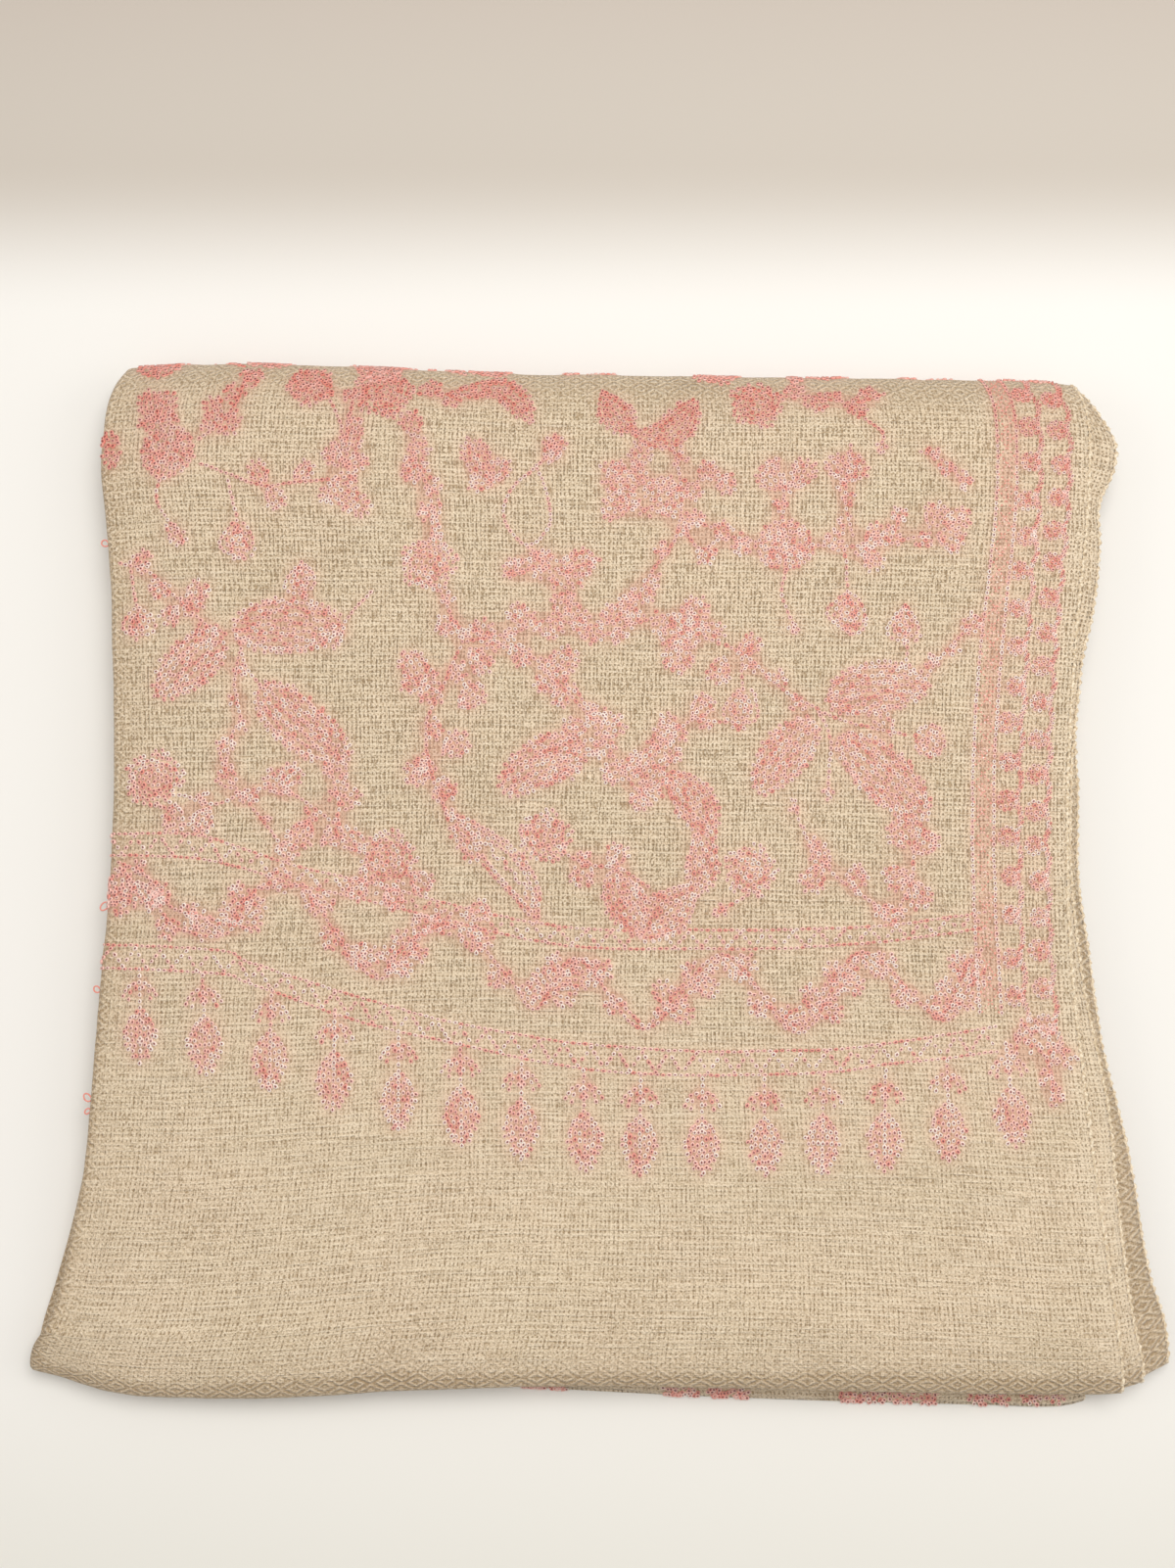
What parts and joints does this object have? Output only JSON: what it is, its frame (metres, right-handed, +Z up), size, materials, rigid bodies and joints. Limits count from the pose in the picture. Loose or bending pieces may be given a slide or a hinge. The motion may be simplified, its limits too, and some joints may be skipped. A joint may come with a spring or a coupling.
{
  "type": "pashmina shawl",
  "caption": "Embroidered wool shawl folded into a flat square pack, with rounded folds on the left, front and back and loose selvedges on the right.",
  "frame": {"origin": "middle of the folded pack's bounding box, on the surface that it rests on", "axes": "+Z up, +X to the open side with the selvedges, +Y to the outer fold at the back; the shawl's own fold line is at -X"},
  "size_m": [0.5542, 0.5261, 0.0364],
  "materials": {
    "shawl_wool": "fine sand-coloured wool in a small diamond twill, soft and matte, with rose chain-stitch embroidery",
    "shawl_wool_inside": "the same wool seen at the folded edges, matte",
    "embroidery_silk": "rose silk chain stitch with a soft sheen"
  },
  "bodies": {
    "root": {"top_stretch": "shawl_wool", "second_ply": "shawl_wool", "third_ply": "shawl_wool", "hidden_layers": "shawl_wool_inside", "bottom_stretch": "shawl_wool"}
  },
  "joints": []
}
